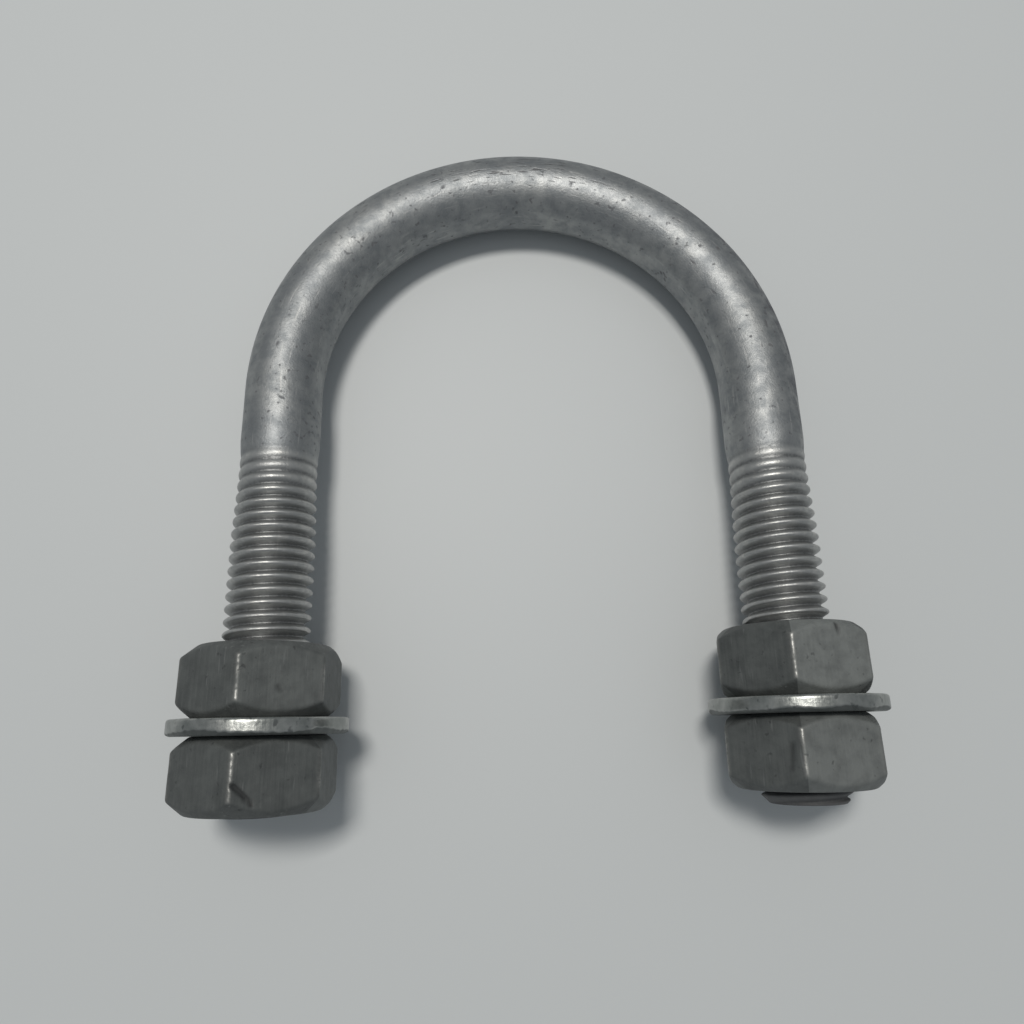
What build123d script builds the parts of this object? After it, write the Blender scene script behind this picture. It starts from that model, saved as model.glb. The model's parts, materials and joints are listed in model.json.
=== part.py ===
from build123d import *
from math import cos, radians, tan
import os

# Bar eye: a round bar bent into a U, threaded on both legs, with a nut, a flat washer and
# a second nut on each leg. The plate that it is bolted through sits between the washer and
# the inner nut.
#
# Millimetres. The U lies flat in the XY plane: its legs run along -Y, its crown is at +Y,
# and Z is square to it. The origin is the centre of the bend, midway between the two legs.
# "Inner" is the nut nearer the crown, "outer" the one at the leg end.

# ---- The bar ---------------------------------------------------------------------------
inside_width = 51.5         # clear gap between the plain legs
inside_length = 76.0        # inside of the crown to the leg ends
bar_d = 9.6                 # plain bar, as drawn before its thread is rolled
thread_major_d = 9.85       # over the crests of the M10 coarse thread
thread_pitch = 1.5
thread_depth = 0.875        # crest to root, along the radius
thread_flank_angle = 30.0   # slope of each flank, from square to the leg
left_thread_length = 41.0   # threaded stretch of the left leg
right_thread_length = 40.5  # and of the right
end_lead = 0.9              # bare root left at each leg end, where a nut is started

# ---- The nuts --------------------------------------------------------------------------
nut_across_flats = 16.0
nut_height = 8.0
nut_bearing_d = 14.6        # circle left flat on each end of the nut
nut_chamfer_angle = 40.0    # slope of the corner chamfers, from the end faces
nut_countersink = 0.45      # 45 degree lead-in at each end of the bore
bore_clearance = 0.05       # all round, between the nut's bore and the thread crests

# ---- The washers -----------------------------------------------------------------------
washer_d = 19.6
washer_thickness = 1.8
washer_clearance = 0.325    # all round, between the washer's hole and the thread crests
washer_edge_radius = 0.3    # rolled edge that the punch leaves on one face

# ---- Where each leg's nuts stand, and how they are turned --------------------------------
left_end_proud = 0.35       # how far the left leg stands proud of its outer nut
right_end_proud = 1.55      # and the right leg of its own
left_inner_turn = 30.0      # degrees about the leg, 0 with a corner on +X
left_outer_turn = 29.0
right_inner_turn = 49.0
right_outer_turn = 50.0

# ---- What follows from them --------------------------------------------------------------
leg_spacing = inside_width + bar_d
bend_radius = leg_spacing / 2
leg_length = inside_length - inside_width / 2
thread_root_r = thread_major_d / 2 - thread_depth
thread_crest_flat = thread_pitch / 8
nut_bore_d = thread_major_d + 2 * bore_clearance
washer_hole_d = thread_major_d + 2 * washer_clearance


def on_leg(x, distance):
    """Place for a piece drawn along +Z: on the leg at x, starting this far from the bend."""
    return Location((x, -distance, 0), (90, 0, 0))


def turned(*points):
    """The solid that a half section of (radius, height) points sweeps around Z."""
    half_section = make_face(Plane.XZ * Polyline(*points, close=True))
    return revolve(half_section, Axis.Z)


def make_thread(start, end):
    """A right-hand helical ridge about Z from start to end, its foot sunk in the root cylinder."""
    sink = 0.05
    crest_half = thread_crest_flat / 2
    foot_half = crest_half + (thread_depth + sink) * tan(radians(thread_flank_angle))
    helix = Pos(0, 0, start) * Helix(thread_pitch, end - start, thread_root_r)
    across_helix = Plane(origin=helix @ 0, x_dir=(1, 0, 0), z_dir=helix % 0)
    ridge_section = across_helix * Polyline(
        (-sink, -foot_half),
        (thread_depth, -crest_half),
        (thread_depth, crest_half),
        (-sink, foot_half),
        close=True,
    )
    return sweep(make_face(ridge_section), path=helix, is_frenet=True)


def make_leg(thread_length):
    """One straight leg from the bend to its threaded end, drawn along +Z."""
    bar_r = bar_d / 2
    thread_start = leg_length - thread_length
    core = turned(
        (0, 0),
        (bar_r, 0),
        (bar_r, thread_start),
        (thread_root_r, thread_start + bar_r - thread_root_r),
        (thread_root_r, leg_length),
        (0, leg_length),
    )
    return core + make_thread(thread_start, leg_length - end_lead)


def make_u_bolt():
    """The bent bar: half a ring for the crown, and a threaded leg on each end of it."""
    crown_section = Plane.XZ * Pos(bend_radius, 0) * Circle(bar_d / 2)
    crown = revolve(crown_section, Axis.Z, 180)
    left_leg = on_leg(-bend_radius, 0) * make_leg(left_thread_length)
    right_leg = on_leg(bend_radius, 0) * make_leg(right_thread_length)
    return crown + right_leg + left_leg


def make_nut(turn):
    """A hexagon nut chamfered at both ends, drawn up from Z = 0 with its bore along Z."""
    bearing_r = nut_bearing_d / 2
    hexagon = RegularPolygon(nut_across_flats / 2, 6, major_radius=False, rotation=turn)
    blank = extrude(hexagon, nut_height)
    corner_r = nut_across_flats / 2 / cos(radians(30))
    drop = (corner_r - bearing_r) * tan(radians(nut_chamfer_angle))
    blank &= turned(
        (0, 0),
        (bearing_r, 0),
        (corner_r, drop),
        (corner_r, nut_height - drop),
        (bearing_r, nut_height),
        (0, nut_height),
    )
    bore_r = nut_bore_d / 2
    return blank - turned(
        (0, 0),
        (bore_r + nut_countersink, 0),
        (bore_r, nut_countersink),
        (bore_r, nut_height - nut_countersink),
        (bore_r + nut_countersink, nut_height),
        (0, nut_height),
    )


def make_washer():
    """A punched flat washer, drawn up from Z = 0, with the rolled edge on its first face."""
    disc = extrude(Circle(washer_d / 2) - Circle(washer_hole_d / 2), washer_thickness)
    rim = disc.edges().filter_by(GeomType.CIRCLE).group_by(Axis.Z)[0].sort_by(SortBy.RADIUS)[-1]
    return fillet(rim, washer_edge_radius)


def save(name, solid):
    solid.label = name
    export_step(solid, f"parts/{name}.step")


os.makedirs("parts", exist_ok=True)
save("u_bolt", make_u_bolt())

legs = {
    "left": (-bend_radius, left_end_proud, left_inner_turn, left_outer_turn),
    "right": (bend_radius, right_end_proud, right_inner_turn, right_outer_turn),
}
for side, (x, end_proud, inner_turn, outer_turn) in legs.items():
    outer_nut_start = leg_length - end_proud - nut_height
    washer_start = outer_nut_start - washer_thickness
    inner_nut_start = washer_start - nut_height
    save(f"{side}_inner_nut", on_leg(x, inner_nut_start) * make_nut(inner_turn))
    save(f"{side}_washer", on_leg(x, washer_start) * make_washer())
    save(f"{side}_outer_nut", on_leg(x, outer_nut_start) * make_nut(outer_turn))
    print(side, "inner nut from the bend:", round(inner_nut_start, 3))
    print(side, "washer from the bend:", round(washer_start, 3))
    print(side, "outer nut from the bend:", round(outer_nut_start, 3))
print("leg spacing", leg_spacing, "leg length", leg_length)
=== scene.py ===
import json
from math import asin, atan2, cos, hypot, pi, radians, sin

import bpy
import numpy as np
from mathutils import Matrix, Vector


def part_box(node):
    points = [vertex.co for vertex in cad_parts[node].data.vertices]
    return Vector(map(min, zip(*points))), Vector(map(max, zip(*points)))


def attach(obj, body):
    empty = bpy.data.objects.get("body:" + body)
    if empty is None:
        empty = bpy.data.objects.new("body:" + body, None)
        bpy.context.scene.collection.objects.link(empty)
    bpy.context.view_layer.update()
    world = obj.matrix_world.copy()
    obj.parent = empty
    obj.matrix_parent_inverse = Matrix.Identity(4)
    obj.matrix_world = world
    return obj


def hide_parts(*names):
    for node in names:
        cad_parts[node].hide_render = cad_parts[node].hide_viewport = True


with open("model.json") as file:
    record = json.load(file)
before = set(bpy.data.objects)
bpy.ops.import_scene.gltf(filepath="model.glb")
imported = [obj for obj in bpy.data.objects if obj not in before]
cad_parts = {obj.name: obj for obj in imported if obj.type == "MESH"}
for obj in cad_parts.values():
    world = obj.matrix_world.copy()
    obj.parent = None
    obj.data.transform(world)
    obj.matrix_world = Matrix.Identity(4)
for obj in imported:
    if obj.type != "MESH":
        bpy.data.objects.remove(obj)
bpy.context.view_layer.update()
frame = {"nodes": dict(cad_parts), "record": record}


# ---- The bar -----------------------------------------------------------------------------
# A plain round steel bar, threaded on both ends, bent cold to a U and dipped in molten
# zinc. The zinc leaves a mottled silver skin with small pits, and a rubbed patch on the
# crown where the bar was hung and knocked.

MM = 0.001
legs_mount = next(m for m in frame["record"]["mounts"] if m["name"] == "legs")
bend_r = legs_mount["dims"]["spacing_x_mm"] * MM / 2
crest_r = legs_mount["dims"]["stud_r_mm"] * MM
bar_low, bar_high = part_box("u_bolt")
bar_r = bar_high.y - bend_r
leg_length = -bar_low.y

pitch = 1.5 * MM
thread_depth = 0.82 * MM
thread_fullness = 1.25  # 1 is a plain cosine wave; more widens the crests
thread_lengths = {-1: 41.0 * MM, 1: 40.5 * MM}  # of the left leg and of the right
root_r = crest_r - thread_depth

# Where the thread runs out: the plain bar's neck, then the roots and the crests reaching full size.
neck_depth = 0.17 * MM
root_runout = 3.75 * pitch
crest_runout = 8 * pitch


def smoothstep(x):
    """0 below 0, 1 above 1, and a smooth climb 3x^2 - 2x^3 between."""
    x = np.clip(x, 0, 1)
    return x * x * (3 - 2 * x)


def thread_height(into_thread, turn):
    """Height of the thread's profile, 0 in the root and 1 on the crest, at this distance past
    the thread's start and this angle about the leg. The zinc has rounded it to a cosine wave,
    drawn out to a broad crest and a narrow root. The crest passes the start at angle 0 and
    moves one pitch along for each turn."""
    turns = into_thread / pitch - turn / (2 * pi)
    return 1 - (0.5 - 0.5 * np.cos(2 * pi * turns)) ** thread_fullness


def ripple(a, b, seed, waves=9):
    """A smooth uneven surface between 0 and 1 over two lengths a and b, each given in periods
    of 2 pi: a sum of sines of whole numbers, so that it closes on itself."""
    chance = np.random.default_rng(seed)
    total = np.zeros(np.broadcast(a, b).shape)
    for _ in range(waves):
        total += np.sin(
            chance.integers(1, 6) * a + chance.integers(-3, 4) * b + chance.uniform(0, 2 * pi)
        )
    return 0.5 + 0.5 * total / waves


def grid_mesh(name, points, lengths, rows_close, **fields):
    """A closed mesh of a grid of points [row, column, xyz] whose columns join into rings. Its
    rows join up too, or else a point in the middle of each end ring closes it. lengths are the
    metres along and around, [row, column, 2], one longer each way that closes, and become
    its UV map. fields are numbers on the points, [row, column], kept as attributes."""
    rows, columns = points.shape[:2]
    vertices = points.reshape(-1, 3)
    here = np.arange(rows * columns).reshape(rows, columns)
    near = here if rows_close else here[:-1]
    far = np.roll(here, -1, axis=0) if rows_close else here[1:]
    quads = np.stack([near, np.roll(near, -1, 1), np.roll(far, -1, 1), far], -1)
    strips = len(near)
    low, high = lengths[:strips], lengths[1 : strips + 1]
    corners = np.stack([low[:, :-1], low[:, 1:], high[:, 1:], high[:, :-1]], 2)
    faces = quads.reshape(-1, 4).tolist()
    uv = corners.reshape(-1, 2)
    if not rows_close:
        middles = points[[0, -1]].mean(axis=1)
        first, last = len(vertices), len(vertices) + 1
        vertices = np.concatenate([vertices, middles])
        ring = np.arange(columns)
        after = np.roll(ring, -1)
        end = (rows - 1) * columns
        faces += np.stack([ring, np.full(columns, first), after], -1).tolist()
        faces += np.stack([end + after, np.full(columns, last), end + ring], -1).tolist()
        start_uv = np.stack([lengths[0, :-1], lengths[0, :-1], lengths[0, 1:]], 1)
        end_uv = np.stack([lengths[-1, 1:], lengths[-1, :-1], lengths[-1, :-1]], 1)
        uv = np.concatenate([uv, start_uv.reshape(-1, 2), end_uv.reshape(-1, 2)])
    mesh = bpy.data.meshes.new(name)
    mesh.from_pydata(vertices, [], faces)
    mesh.uv_layers.new(name="lengths").data.foreach_set("uv", uv.ravel())
    for field, values in fields.items():
        values = np.broadcast_to(values, (rows, columns))
        ends = values[[0, -1]].mean(axis=1)[: len(vertices) - values.size]
        layer = mesh.attributes.new(field, "FLOAT", "POINT")
        layer.data.foreach_set("value", np.concatenate([values.ravel(), ends]).astype(np.float32))
    a, b, c = (vertices[quads[..., k].ravel()] for k in range(3))
    if np.einsum("ij,ij->", a, np.cross(b, c)) < 0:
        mesh.flip_normals()
    mesh.shade_smooth()
    piece = bpy.data.objects.new(name, mesh)
    bpy.context.scene.collection.objects.link(piece)
    return piece


def bar_radius(distance, into_thread, turn):
    """Radius of the bar at a distance along the leg from the bend, less than 0 on the bend,
    another past the thread's start, and an angle about the leg. The plain bar narrows by
    neck_depth just before the thread. The roots deepen along root_runout, which a nut never
    reaches, and the crests climb along crest_runout. A chamfer ends the leg."""
    neck_r = bar_r - neck_depth
    outside = bar_r + (neck_r - bar_r) * smoothstep(1 + into_thread / (2.5 * MM))
    outside = outside + (crest_r - neck_r) * smoothstep(into_thread / crest_runout)
    deepening = np.clip(into_thread / root_runout, 0, 1)
    cut = smoothstep(into_thread / pitch + 0.7) * (0.22 + 0.78 * deepening**1.5)
    threaded = outside - cut * (outside - root_r) * (1 - thread_height(into_thread, turn))
    end_r = root_r - 0.02 * MM
    return np.minimum(threaded, end_r + np.maximum(leg_length - distance, 0))


def make_bar():
    """The bar's surface: its centreline runs along the left leg, round the bend and along the
    right leg, and a ring of radius bar_radius goes round it at each station. The former that
    it was bent round has pressed a narrow flat on the inside: bar_r over the cosine there."""
    columns = 72
    quarter_bend = bend_r * pi / 2
    first_thread = leg_length - max(thread_lengths.values()) - pitch
    plain = np.arange(0, quarter_bend + first_thread, 0.42 * MM)
    threaded = np.arange(quarter_bend + first_thread, quarter_bend + leg_length, pitch / 16)
    tip = np.full(4, quarter_bend + leg_length)
    half = np.concatenate([plain, threaded, tip])
    shrink_half = np.concatenate([np.ones(len(half) - 3), [0.97, 0.6, 0.25]])
    station = np.concatenate([-half[:0:-1], half])[:, None]
    shrink = np.concatenate([shrink_half[:0:-1], shrink_half])[:, None]
    around = np.arange(columns + 1) * 2 * pi / columns - pi / 2

    bend_angle = np.clip(station / bend_r, -pi / 2, pi / 2)
    distance = np.abs(station) - quarter_bend
    outward = np.concatenate([np.sin(bend_angle), np.cos(bend_angle), 0 * station], 1)
    centre = bend_r * outward
    centre[:, 1] -= np.maximum(distance[:, 0], 0)
    turn = np.where(station < 0, pi - around, around)
    thread_length = np.where(station < 0, thread_lengths[-1], thread_lengths[1])
    into_thread = distance - leg_length + thread_length

    radius = bar_radius(distance, into_thread, turn)
    plain_part = smoothstep(-into_thread / (3 * MM))
    uneven = 0.04 * ripple(station / (9 * MM), around, seed=5)
    uneven = uneven + 0.008 * ripple(station / (1.7 * MM), 2 * around, seed=8)
    radius = radius - plain_part * uneven * MM
    off_inner = np.abs(around - pi)
    pressed = 0.065 * smoothstep(-distance / (6 * MM) + 0.6)
    inner_flat = bar_r * (1 - pressed) / np.cos(np.minimum(off_inner, 1.2))
    radius = np.where(off_inner < 1.2, np.minimum(radius, inner_flat), radius) * shrink

    towards = outward[:, None] * np.cos(around)[None, :, None]
    towards[..., 2] = np.sin(around)
    points = centre[:, None] + radius[..., None] * towards
    lengths = np.stack(np.broadcast_arrays(station, around * bar_r), -1)
    threads = smoothstep(into_thread / pitch + 0.5)
    height = thread_height(into_thread, turn)
    marks = dict(
        rubbed=np.exp(-(((station - MM) / (14 * MM)) ** 4) - ((around - 1.45) / 0.55) ** 2),
        weathered=np.exp(-(((station - 32 * MM) / (24 * MM)) ** 4) - ((around - 0.55) / 0.42) ** 2),
        threads=threads + 0 * around,
        # The thread's grooves, which the material paints darker with grime and painted shade.
        root=(1 - height) ** 2 * threads,
        crest=height**4 * threads,
        # The leg's end past the nuts, where the material paints shade.
        tip=smoothstep((distance - leg_length) / MM + 2.6) + 0 * around,
    )
    marks = {name: values[:, :-1] for name, values in marks.items()}
    return grid_mesh("bar", points[:, :-1], lengths, False, **marks)


def put(tree, kind, inputs=None, **settings):
    """A node of this kind in a tree, its settings and inputs filled in. An input is a plain
    value, or an output of another node, which is linked to it."""
    made = tree.nodes.new(kind)
    for field, value in settings.items():
        setattr(made, field, value)
    for place, value in (inputs or {}).items():
        if isinstance(value, bpy.types.NodeSocket):
            tree.links.new(value, made.inputs[place])
        else:
            made.inputs[place].default_value = value
    return made


def maths(tree, operation, a, b=0.0):
    return put(tree, "ShaderNodeMath", {0: a, 1: b}, operation=operation).outputs[0]


def ramp(tree, factor, *stops):
    """A colour ramp over factor. Each stop is a place from 0 to 1 and a grey or a colour."""
    made = put(tree, "ShaderNodeValToRGB", {0: factor})
    elements = made.color_ramp.elements
    while len(elements) < len(stops):
        elements.new(0.5)
    for element, (place, colour) in zip(elements, stops):
        element.position = place
        grey = isinstance(colour, (int, float))
        element.color = (colour, colour, colour, 1) if grey else (*colour, 1)
    return made.outputs[0]


def noise(tree, vector, scale, detail=3.0, roughness=0.55):
    settings = {"Vector": vector, "Scale": scale, "Detail": detail, "Roughness": roughness}
    return put(tree, "ShaderNodeTexNoise", settings).outputs["Fac"]


def new_group(name, inputs, outputs):
    """A shader node group with these inputs and outputs, and its two end nodes."""
    tree = bpy.data.node_groups.new(name, "ShaderNodeTree")
    for socket, kind in inputs.items():
        tree.interface.new_socket(socket, in_out="INPUT", socket_type=kind)
    for socket, kind in outputs.items():
        tree.interface.new_socket(socket, in_out="OUTPUT", socket_type=kind)
    return tree, tree.nodes.new("NodeGroupInput").outputs, tree.nodes.new("NodeGroupOutput").inputs


def use_group(tree, group, **inputs):
    made = put(tree, "ShaderNodeGroup", node_tree=group)
    for name, value in inputs.items():
        socket = made.inputs[name.replace("_", " ")]
        if isinstance(value, bpy.types.NodeSocket):
            tree.links.new(value, socket)
        else:
            socket.default_value = value
    return made.outputs


def make_zinc_skin():
    """Group: the skin that molten zinc leaves. Cloud is broad light and dark, Grain is fine."""
    tree, given, out = new_group(
        "zinc skin",
        {"Vector": "NodeSocketVector", "Patch size": "NodeSocketFloat"},
        {"Cloud": "NodeSocketFloat", "Grain": "NodeSocketFloat"},
    )
    scale = maths(tree, "DIVIDE", 1.0, given["Patch size"])
    cloud = noise(tree, given["Vector"], scale, 5.0, 0.62)
    finer = maths(tree, "MULTIPLY", scale, 7.0)
    grain = noise(tree, given["Vector"], finer, 4.0, 0.7)
    tree.links.new(ramp(tree, cloud, (0.36, 0.0), (0.64, 1.0)), out["Cloud"])
    tree.links.new(ramp(tree, grain, (0.3, 0.0), (0.7, 1.0)), out["Grain"])
    return tree


def make_flecks():
    """Group: ragged flecks gathered in patches. Size is about that of one, in metres, and
    Amount, from 0 to 1, is how many there are. Stretch the vector to draw them out."""
    tree, given, out = new_group(
        "flecks",
        {"Vector": "NodeSocketVector", "Size": "NodeSocketFloat", "Amount": "NodeSocketFloat"},
        {"Mask": "NodeSocketFloat"},
    )
    scale = maths(tree, "DIVIDE", 0.6, given["Size"])
    ragged = noise(tree, given["Vector"], scale, 1.5, 0.5)
    patch = noise(tree, given["Vector"], maths(tree, "MULTIPLY", scale, 0.13), 2.0)
    level = maths(tree, "MULTIPLY", given["Amount"], maths(tree, "MULTIPLY", patch, -0.42))
    level = maths(tree, "ADD", level, 0.73)
    limits = {"Value": ragged, "From Min": level, "From Max": maths(tree, "ADD", level, 0.13)}
    mask = put(tree, "ShaderNodeMapRange", limits, interpolation_type="SMOOTHSTEP").outputs[0]
    tree.links.new(mask, out["Mask"])
    return tree


zinc_skin, flecks = make_zinc_skin(), make_flecks()


def stretched(tree, vector, scale, turn=(0, 0, 0)):
    inputs = {"Vector": vector, "Rotation": turn, "Scale": scale}
    return put(tree, "ShaderNodeMapping", inputs).outputs[0]


def new_material(name):
    """An empty material with its shader: the material, its tree, and the shader's inputs."""
    material = bpy.data.materials.new(name)
    material.use_nodes = True
    tree = material.node_tree
    tree.nodes.clear()
    shader = put(tree, "ShaderNodeBsdfPrincipled")
    put(tree, "ShaderNodeOutputMaterial", {"Surface": shader.outputs[0]})
    return material, tree, shader.inputs


def mix(tree, factor, a, b):
    """Colour a where factor is 0, colour b where it is 1."""
    made = put(tree, "ShaderNodeMix", {0: factor}, data_type="RGBA")
    for place, colour in ((6, a), (7, b)):
        if isinstance(colour, bpy.types.NodeSocket):
            tree.links.new(colour, made.inputs[place])
        else:
            made.inputs[place].default_value = (*colour, 1)
    return made.outputs[2]


def attribute(tree, name):
    return put(tree, "ShaderNodeAttribute", attribute_name=name).outputs["Fac"]


def bump(tree, height, depth, strength=1.0):
    inputs = {"Height": height, "Distance": depth, "Strength": strength}
    return put(tree, "ShaderNodeBump", inputs).outputs[0]


def galvanised_bar():
    """Mottled grey zinc: pale clouds, dark flecks along the bar, and scuffs on the crown."""
    material, tree, shader = new_material("galvanised bar")
    place = put(tree, "ShaderNodeTexCoord").outputs["Object"]
    lengths = put(tree, "ShaderNodeUVMap", uv_map="lengths").outputs[0]
    rubbed, weathered = attribute(tree, "rubbed"), attribute(tree, "weathered")
    root, crest, tip = (attribute(tree, name) for name in ("root", "crest", "tip"))
    skin = use_group(tree, zinc_skin, Vector=place, Patch_size=1.8 * MM)
    blooms = noise(tree, place, 1 / (7 * MM), 3.0)
    spots = use_group(tree, flecks, Vector=place, Size=0.42 * MM, Amount=0.5)["Mask"]
    amount = maths(tree, "ADD", 0.3, maths(tree, "MULTIPLY", weathered, 0.65))
    drawn = stretched(tree, lengths, (0.4, 1, 1))
    dashes = use_group(tree, flecks, Vector=drawn, Size=0.6 * MM, Amount=amount)["Mask"]
    amount = maths(tree, "MULTIPLY", rubbed, 0.95)
    drawn = stretched(tree, lengths, (0.16, 1, 1), (0, 0, 0.12))
    scuffs = use_group(tree, flecks, Vector=drawn, Size=0.24 * MM, Amount=amount)["Mask"]
    drawn = stretched(tree, lengths, (0.1, 1, 1), (0, 0, -0.06))
    lines = use_group(tree, flecks, Vector=drawn, Size=0.3 * MM, Amount=0.5)["Mask"]

    clouds = mix(tree, skin["Cloud"], (0.255, 0.27, 0.28), (0.395, 0.405, 0.405))
    clouds = mix(tree, ramp(tree, blooms, (0.4, 0.0), (0.65, 0.55)), clouds, (0.25, 0.265, 0.28))
    patches = maths(tree, "MULTIPLY", weathered, ramp(tree, skin["Cloud"], (0.0, 1.0), (1.0, 0.3)))
    clouds = mix(tree, patches, clouds, (0.085, 0.087, 0.105))
    scored = mix(tree, maths(tree, "MULTIPLY", lines, 0.4), clouds, (0.55, 0.55, 0.54))
    scuffed = mix(tree, maths(tree, "MULTIPLY", scuffs, 0.75), scored, (0.12, 0.12, 0.125))
    dirt = maths(tree, "MAXIMUM", maths(tree, "MULTIPLY", spots, 0.6), maths(tree, "MULTIPLY", dashes, 0.7))
    flecked = mix(tree, dirt, scuffed, (0.085, 0.085, 0.095))
    threads = attribute(tree, "threads")
    flecked = mix(tree, maths(tree, "MULTIPLY", threads, 0.5), flecked, (0.58, 0.58, 0.565))
    # Painted shade and grime: the thread roots are painted darker, for the shade that falls in the grooves
    # as well as for dirt.
    root_grime_and_shade = maths(tree, "MULTIPLY", root, ramp(tree, skin["Grain"], (0.1, 0.45), (0.8, 0.85)))
    shaded = mix(tree, root_grime_and_shade, flecked, (0.10, 0.105, 0.11))
    # Painted highlight and wear: pale spots are painted on the thread crests. They are partly zinc bared
    # where a nut has run and partly painted glints.
    glints = ramp(tree, noise(tree, place, 1 / (0.9 * MM)), (0.48, 0.0), (0.66, 1.0))
    bared_crest_glints = maths(tree, "MULTIPLY", crest, glints)
    shaded = mix(tree, maths(tree, "MULTIPLY", bared_crest_glints, 0.5), shaded, (0.62, 0.61, 0.58))
    # Painted shade: the end of each leg past the nuts is painted near black and made dull, for the shadow it
    # lies in.
    shaded = mix(tree, maths(tree, "MULTIPLY", tip, 0.85), shaded, (0.04, 0.042, 0.045))
    tree.links.new(shaded, shader["Base Color"])

    dull = maths(tree, "MAXIMUM", maths(tree, "MULTIPLY", dirt, 0.6), tip)
    tree.links.new(maths(tree, "SUBTRACT", 0.88, maths(tree, "MULTIPLY", dull, 0.85)), shader["Metallic"])
    rough = ramp(tree, skin["Cloud"], (0.0, 0.54), (1.0, 0.48))
    polished = maths(tree, "MAXIMUM", rubbed, bared_crest_glints)
    rough = maths(tree, "SUBTRACT", rough, maths(tree, "MULTIPLY", polished, 0.05))
    rough = maths(tree, "SUBTRACT", rough, maths(tree, "MULTIPLY", threads, 0.07))
    tree.links.new(maths(tree, "ADD", rough, maths(tree, "MULTIPLY", dull, 0.25)), shader["Roughness"])
    relief = maths(tree, "ADD", skin["Grain"], maths(tree, "MULTIPLY", skin["Cloud"], 0.8))
    relief = maths(tree, "SUBTRACT", relief, dirt)
    relief = maths(tree, "SUBTRACT", relief, maths(tree, "MULTIPLY", lines, 0.4))
    relief = maths(tree, "SUBTRACT", relief, maths(tree, "MULTIPLY", scuffs, 1.6))
    tree.links.new(bump(tree, relief, 0.015 * MM), shader["Normal"])
    return material


bar = make_bar()
bar.data.materials.append(galvanised_bar())
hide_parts("u_bolt")
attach(bar, "u_bolt")


# ---- The nuts ----------------------------------------------------------------------------
# Four forged hexagon nuts, chamfered at both ends and tapped right through, in dull grey
# zinc. Handling has rubbed their corners bright and scored their faces. They are screwed
# onto the legs, two to a leg, against the washer between them.

nut_half_flats = 8.0 * MM
nut_bearing_r = 7.3 * MM
nut_chamfer = radians(40)
nut_corner_rounding = 0.5 * MM
nut_countersink = 0.45 * MM
tapping_clearance = 0.11 * MM
tapped_r = 4.25 * MM

# The six sides differ a little in tone, drawn from the nut's own seed. The seeds are picked so that on the
# right nuts the side facing up and to the right comes out lighter and the side facing up and to the left
# darker, as painted light.
shade_seeds = {"left_inner_nut": 6, "left_outer_nut": 2, "right_inner_nut": 10, "right_outer_nut": 9}

# Each knock is a groove in a side: the turn about the leg in degrees and the distance from the
# nut's first face in mm where it starts, the same where it ends, and its depth in mm.
knocks = {
    "left_inner_nut": [(62, 4.9, 60, 5.4, 0.08)],
    "left_outer_nut": [(87, 4.8, 75, 6.6, 0.22)],
    "right_inner_nut": [(72, 0.7, 71, 1.3, 0.15)],
    "right_outer_nut": [(117, 3.2, 119, 5.6, 0.08), (80, 6.3, 72, 6.6, 0.10)],
}


def corner_angle(node, axis_x):
    """Angle about the leg of a CAD nut's first corner past the X axis, from the one of its
    vertices that is furthest out."""
    co = np.array([v.co for v in frame["nodes"][node].data.vertices])
    x, z = co[:, 0] - axis_x, co[:, 2]
    furthest = np.argmax(np.hypot(x, z))
    return atan2(z[furthest], x[furthest]) % (pi / 3)


def hexagon_radius(turn):
    """Radius of a nut's hexagon, a corner at angle 0, at each angle: nut_half_flats over the
    cosine of the angle from the middle of the nearest side, or the nearest corner's small arc."""
    off_corner = np.abs((turn + pi / 6) % (pi / 3) - pi / 6)
    flat = nut_half_flats / np.cos(pi / 6 - off_corner)
    arc_centre = (nut_half_flats - nut_corner_rounding) / cos(pi / 6)
    reach = np.maximum(nut_corner_rounding**2 - (arc_centre * np.sin(off_corner)) ** 2, 0)
    arc = arc_centre * np.cos(off_corner) + np.sqrt(reach)
    arc_end = atan2(nut_corner_rounding * sin(pi / 6), arc_centre + nut_corner_rounding * cos(pi / 6))
    return np.where(off_corner < arc_end, arc, flat)


def softened(corners, roundings, steps=4):
    """A run of corners [corner, column, 2] with each one rounded: points a rounding either side
    of the corner, the quadratic curve between them, and a point on each straight just beyond."""
    rows = []
    for before, corner, after, rounding in zip(corners, corners[1:], corners[2:], roundings):
        back, ahead = before - corner, after - corner
        back_length = np.linalg.norm(back, axis=-1, keepdims=True)
        ahead_length = np.linalg.norm(ahead, axis=-1, keepdims=True)
        start = corner + back / back_length * np.minimum(rounding, 0.4 * back_length)
        finish = corner + ahead / ahead_length * np.minimum(rounding, 0.4 * ahead_length)
        rows.append(start + 0.35 * (start - corner))
        for t in np.linspace(0, 1, steps + 1):
            rows.append((1 - t) ** 2 * start + 2 * t * (1 - t) * corner + t * t * finish)
        rows.append(finish + 0.35 * (finish - corner))
    return np.stack(rows)


def section_lengths(section, turned):
    """The metres round a closed section, beginning and ending at its first row, paired with the
    metres turned about the leg at each column."""
    steps = np.linalg.norm(np.diff(section, axis=0, append=section[:1]), axis=-1)
    run = np.concatenate([np.zeros((1, section.shape[1])), np.cumsum(steps, axis=0)])
    run = np.concatenate([run, run[:, :1]], 1)
    return np.stack(np.broadcast_arrays(run, turned), -1)


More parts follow.
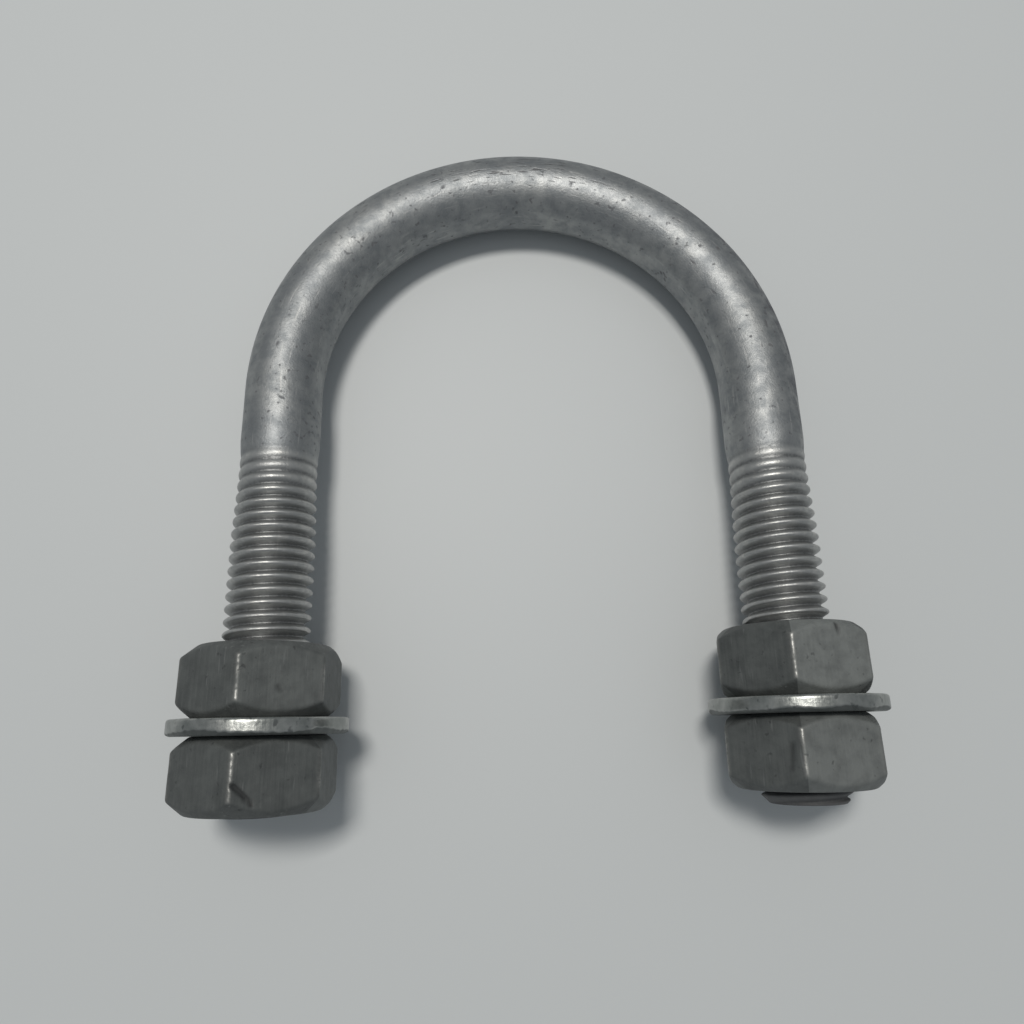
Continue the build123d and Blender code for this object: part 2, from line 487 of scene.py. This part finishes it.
def make_nut(name):
    """A nut's surface: a section of tapped bore, lead-in, end face, chamfer, side, chamfer, end
    face and lead-in, which closes on itself and is carried round the leg. The side follows the
    hexagon, and each chamfer runs from the bearing circle out to wherever it meets the side."""
    low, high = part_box(name)
    side = 1 if low.x > 0 else -1
    axis_x = side * bend_r
    first, height = -high.y, high.y - low.y
    corner = corner_angle(name, axis_x)

    near_corner = np.array([0, 0.5, 1, 1.5, 1.9, 2.4, 3])
    from_corner = np.radians(np.concatenate([near_corner, np.arange(4, 30, 1.3)]))
    sixth = np.concatenate([from_corner, pi / 3 - from_corner[:0:-1]])
    around = (np.arange(6)[:, None] * pi / 3 + sixth).ravel()
    turn = around + corner
    hexagon = hexagon_radius(around)
    ones = np.ones_like(hexagon)

    along = np.linspace(nut_countersink, height - nut_countersink, 76)[:, None]
    into_thread = first + along - leg_length + thread_lengths[side]
    bolt = root_r + thread_depth * thread_height(into_thread, turn) + tapping_clearance
    bore = np.stack(np.broadcast_arrays(np.maximum(bolt, tapped_r), along), -1)

    lead_r = crest_r + tapping_clearance + 0.25 * MM
    drop = (hexagon - nut_bearing_r) * np.tan(nut_chamfer)
    rows_between = np.linspace(height - drop.max(), drop.max(), 7)[1:-1]
    outline = [
        (bore[-1, :, 0], height - nut_countersink),
        (lead_r, height),
        (nut_bearing_r, height),
        (hexagon, height - drop),
        *[(hexagon, y) for y in rows_between],
        (hexagon, drop),
        (nut_bearing_r, 0),
        (lead_r, 0),
        (bore[0, :, 0], nut_countersink),
    ]
    corners = np.stack([np.stack([r * ones, y * ones], -1) for r, y in outline])
    roundings = np.array([0.08, 0.28, 0.3, *[0.28] * len(rows_between), 0.3, 0.28, 0.08]) * MM
    section = np.concatenate([bore, softened(corners, roundings)])
    radius, y = section[..., 0], section[..., 1]

    outside = smoothstep((radius - 6.5 * MM) / MM)
    seed = sum(map(ord, name))
    uneven = 0.05 * ripple(around, y / (2.2 * MM), seed) + 0.02 * ripple(
        3 * around, y / (0.9 * MM), seed + 1
    )
    grooves = np.zeros_like(radius)
    for from_turn, from_y, to_turn, to_y, depth in knocks[name]:
        sideways = (turn - radians(from_turn) + pi) % (2 * pi) - pi
        sideways, onward = nut_half_flats * sideways, y - from_y * MM
        run_x, run_y = nut_half_flats * radians(to_turn - from_turn), (to_y - from_y) * MM
        share = np.clip((sideways * run_x + onward * run_y) / (run_x**2 + run_y**2), 0, 1)
        away = np.hypot(sideways - share * run_x, onward - share * run_y)
        grooves = grooves + depth * np.exp(-((away / (0.24 * MM)) ** 2))
    radius = radius - outside * (uneven + grooves) * MM
    points = np.stack(
        [axis_x + radius * np.cos(turn), -(first + y), radius * np.sin(turn)], -1
    )
    off_corner = np.abs((around + pi / 6) % (pi / 3) - pi / 6)
    on_side = smoothstep((radius - 0.985 * hexagon) / (0.01 * hexagon))
    rubbing = smoothstep(1.6 * ripple(2 * around, y / (1.4 * MM), seed + 2) - 0.25)
    ridge = np.exp(-((off_corner / radians(1.5)) ** 2)) * on_side * rubbing
    lengths = section_lengths(section, np.append(around, 2 * pi) * nut_half_flats)
    knocked = outside * np.minimum(grooves / 0.12, 1)
    # Each side's tone, with painted light on the right nuts' upper right sides through the picked seeds.
    side_shades = np.random.default_rng(shade_seeds[name]).uniform(0, 1, 6)
    shade = side_shades[(around // (pi / 3)).astype(int)] ** 2 * outside
    return grid_mesh(
        name, points, lengths, True, ridge=ridge, knocked=knocked, shade=shade, tapped=1 - outside
    )


def dull_zinc():
    """Dark matte grey zinc, drawn faintly along the nut, with its corners rubbed bright."""
    material, tree, shader = new_material("dull zinc")
    place = put(tree, "ShaderNodeTexCoord").outputs["Object"]
    ridge, tapped = attribute(tree, "ridge"), attribute(tree, "tapped")
    knocked = attribute(tree, "knocked")
    skin = use_group(tree, zinc_skin, Vector=place, Patch_size=3.5 * MM)
    smudges = ramp(tree, noise(tree, place, 1 / (1.6 * MM), 4.0), (0.42, 0.0), (0.68, 1.0))
    spots = use_group(tree, flecks, Vector=place, Size=0.4 * MM, Amount=0.34)["Mask"]
    drawn = stretched(tree, place, (1, 0.05, 1))
    lines = noise(tree, drawn, 1 / (0.35 * MM), 2.0)
    drawn = stretched(tree, place, (1, 0.12, 1), (0.1, 0, 0.15))
    scores = use_group(tree, flecks, Vector=drawn, Size=0.3 * MM, Amount=0.42)["Mask"]

    greys = mix(tree, skin["Cloud"], (0.072, 0.079, 0.079), (0.105, 0.114, 0.113))
    greys = mix(tree, ramp(tree, lines, (0.4, 0.0), (0.7, 0.4)), greys, (0.135, 0.143, 0.14))
    # Painted light and tone: some sides are painted lighter, each by its own tone, the right nuts' upper
    # right sides most.
    greys = mix(tree, maths(tree, "MULTIPLY", attribute(tree, "shade"), 0.8), greys, (0.24, 0.255, 0.25))
    greys = mix(tree, maths(tree, "MULTIPLY", smudges, 0.35), greys, (0.05, 0.055, 0.057))
    scored = mix(tree, maths(tree, "MULTIPLY", scores, 0.5), greys, (0.19, 0.20, 0.20))
    marked = mix(tree, maths(tree, "MULTIPLY", spots, 0.45), scored, (0.025, 0.027, 0.028))
    chipped = ramp(tree, noise(tree, place, 1 / (0.5 * MM)), (0.36, 0.35), (0.55, 1.0))
    bright = maths(tree, "MULTIPLY", ridge, chipped)
    worn = mix(tree, bright, marked, (0.40, 0.40, 0.385))
    tapped, knocked = maths(tree, "MULTIPLY", tapped, 0.3), maths(tree, "MULTIPLY", knocked, 0.75)
    dark = maths(tree, "MAXIMUM", tapped, knocked)
    tree.links.new(mix(tree, dark, worn, (0.022, 0.023, 0.024)), shader["Base Color"])

    tree.links.new(ramp(tree, bright, (0.0, 0.3), (0.6, 0.95)), shader["Metallic"])
    rough = ramp(tree, skin["Grain"], (0.0, 0.66), (1.0, 0.56))
    tree.links.new(maths(tree, "SUBTRACT", rough, maths(tree, "MULTIPLY", bright, 0.2)), shader["Roughness"])
    relief = maths(tree, "ADD", maths(tree, "MULTIPLY", skin["Grain"], 0.5), skin["Cloud"])
    relief = maths(tree, "ADD", relief, maths(tree, "MULTIPLY", lines, 1.5))
    relief = maths(tree, "SUBTRACT", relief, maths(tree, "MULTIPLY", spots, 1.2))
    tree.links.new(bump(tree, relief, 0.02 * MM), shader["Normal"])
    return material


nut_finish = dull_zinc()
for side in ("left", "right"):
    for place in ("inner", "outer"):
        node = f"{side}_{place}_nut"
        nut = make_nut(node)
        nut.name = f"{side}_{place}_hexagon_nut"
        nut.data.materials.append(nut_finish)
        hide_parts(node)
        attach(nut, node)


# ---- The washers -------------------------------------------------------------------------
# Two flat washers punched from sheet and bright zinc plated. The punch rolls the edge of
# the first face over, shears the rim bright for about two thirds of its thickness, and the
# rest breaks away rough. Each fits loosely round the thread, between the leg's two nuts.

washer_clearance = 0.325 * MM


def make_washer(name):
    """A washer's surface: a section round the hole, the two faces and the rim, carried round the
    leg. The rim is sheared straight until the last face is near; there it breaks away along a
    ragged slope that wanders nearer to the face and further from it."""
    low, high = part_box(name)
    axis_x = bend_r if low.x > 0 else -bend_r
    first, height = -high.y, high.y - low.y
    rim_r = (high.z - low.z) / 2
    hole_r = crest_r + washer_clearance
    turn = np.arange(360) * 2 * pi / 360
    ones = np.ones_like(turn)
    seed = sum(map(ord, name))
    wander = ripple(2 * turn, 0 * turn, seed, 14)
    jagged = ripple(13 * turn, 0 * turn, seed + 1, 14)
    break_y = height - (0.08 + 0.9 * wander**2 + 0.35 * jagged**2) * MM
    break_r = rim_r - (0.25 + 0.5 * wander) * MM
    corners = [
        (hole_r, 0.5 * height),
        (hole_r, 0),
        (rim_r, 0),
        (rim_r, break_y),
        (break_r, height),
        (hole_r, height),
        (hole_r, 0.5 * height),
    ]
    corners = np.stack([np.stack([r * ones, y * ones], -1) for r, y in corners])
    section = softened(corners, np.array([0.12, 0.38, 0.16, 0.2, 0.15]) * MM)
    radius, y = section[..., 0], section[..., 1]
    on_rim = smoothstep((radius - 0.9 * rim_r) / (0.04 * rim_r))
    rough = ripple(9 * turn, y / (0.25 * MM), seed + 4) * ripple(31 * turn, y / (0.2 * MM), seed + 5)
    broken = on_rim * smoothstep((y - break_y) / (0.15 * MM) + 0.5)
    radius = radius - (0.10 * broken + 0.03 * on_rim) * rough * MM
    points = np.stack(
        [axis_x + radius * np.cos(turn), -(first + y), radius * np.sin(turn)], -1
    )
    lengths = section_lengths(section, np.append(turn, 2 * pi) * rim_r)
    return grid_mesh(name, points, lengths, True, broken=broken)


def bright_zinc_plate():
    """Clean zinc plate, pale and glossy, with drawn lines across the rim, dull where it broke."""
    material, tree, shader = new_material("bright zinc plate")
    place = put(tree, "ShaderNodeTexCoord").outputs["Object"]
    lengths = put(tree, "ShaderNodeUVMap", uv_map="lengths").outputs[0]
    broken = attribute(tree, "broken")
    skin = use_group(tree, zinc_skin, Vector=place, Patch_size=1.8 * MM)
    spots = use_group(tree, flecks, Vector=place, Size=0.4 * MM, Amount=0.5)["Mask"]
    drawn = stretched(tree, lengths, (0.12, 1, 1))
    lines = noise(tree, drawn, 1 / (0.5 * MM), 2.0)

    plate = mix(tree, skin["Cloud"], (0.28, 0.295, 0.285), (0.43, 0.44, 0.425))
    scored = mix(tree, ramp(tree, lines, (0.5, 0.0), (0.75, 0.5)), plate, (0.30, 0.31, 0.30))
    marked = mix(tree, maths(tree, "MULTIPLY", spots, 0.7), scored, (0.12, 0.13, 0.13))
    torn = mix(tree, maths(tree, "MULTIPLY", broken, 0.8), marked, (0.11, 0.12, 0.12))
    tree.links.new(torn, shader["Base Color"])
    shader["Metallic"].default_value = 0.92
    rough = ramp(tree, skin["Grain"], (0.0, 0.38), (1.0, 0.27))
    tree.links.new(maths(tree, "ADD", rough, maths(tree, "MULTIPLY", broken, 0.2)), shader["Roughness"])
    relief = maths(tree, "SUBTRACT", skin["Cloud"], maths(tree, "MULTIPLY", lines, 1.2))
    tree.links.new(bump(tree, relief, 0.015 * MM), shader["Normal"])
    return material


washer_finish = bright_zinc_plate()
for side in ("left", "right"):
    node = f"{side}_washer"
    washer = make_washer(node)
    washer.name = f"{side}_flat_washer"
    washer.data.materials.append(washer_finish)
    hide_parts(node)
    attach(washer, node)


# ---- The table it lies on ----------------------------------------------------------------
# A plain pale laminate top. The part rests on its two washers and on the crown, which is
# thinner, so the table leans by a few degrees to the plane of the U.

washer_low, washer_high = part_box("right_washer")
touch_y, touch_z = washer_high.y, washer_low.z
reach = hypot(bend_r - touch_y, touch_z)
table_lean = atan2(-touch_z, bend_r - touch_y) - asin(bar_r / reach)
table_half = 1.5


def table_point(x, distance):
    """A point on the table: x across, and a distance up its slope from the washers."""
    return (x, touch_y + distance * cos(table_lean), touch_z + distance * sin(table_lean))


table_mesh = bpy.data.meshes.new("table_top")
table_corners = [(-1, -1), (1, -1), (1, 1), (-1, 1)]
table_mesh.from_pydata(
    [table_point(x * table_half, y * table_half) for x, y in table_corners], [], [(0, 1, 2, 3)]
)
table = bpy.data.objects.new("table_top", table_mesh)
bpy.context.scene.collection.objects.link(table)
table_material, tree, shader = new_material("pale laminate")
shader["Base Color"].default_value = (0.63, 0.655, 0.665, 1)
shader["Roughness"].default_value = 0.55
table_mesh.materials.append(table_material)


# ---- Light and camera --------------------------------------------------------------------
# One soft warm light hangs over the table, a little beyond the crown, in a room of dim cool
# walls. The camera is held close above the nuts and looks down towards the crown.


def soft_light(name, place, target, width, height, watts):
    light = bpy.data.lights.new(name, "AREA")
    light.shape = "RECTANGLE"
    light.size, light.size_y = width, height
    light.energy = watts
    light.color = (1.0, 0.965, 0.91)
    lamp = bpy.data.objects.new(name, light)
    bpy.context.scene.collection.objects.link(lamp)
    lamp.location = place
    aim = Vector(target) - Vector(place)
    lamp.rotation_euler = aim.to_track_quat("-Z", "Y").to_euler()


soft_light("overhead", (-0.07, 0.15, 0.70), (0, 0, 0), 0.16, 0.12, 2.75)

world = bpy.data.worlds.new("room")
bpy.context.scene.world = world
world.use_nodes = True
background = world.node_tree.nodes["Background"].inputs
background["Color"].default_value = (0.90, 0.96, 1.0, 1)
background["Strength"].default_value = 0.27

camera_data = bpy.data.cameras.new("camera")
camera_data.lens = 26.0
camera_data.clip_start = 0.01
camera = bpy.data.objects.new("camera", camera_data)
bpy.context.scene.collection.objects.link(camera)
camera.location = (-3.77 * MM, -41.89 * MM, 87.27 * MM)
camera.rotation_mode = "ZYX"
camera.rotation_euler = (radians(16.42), radians(-1.32), radians(-0.79))
bpy.context.scene.camera = camera
bpy.context.scene.view_settings.view_transform = "Standard"
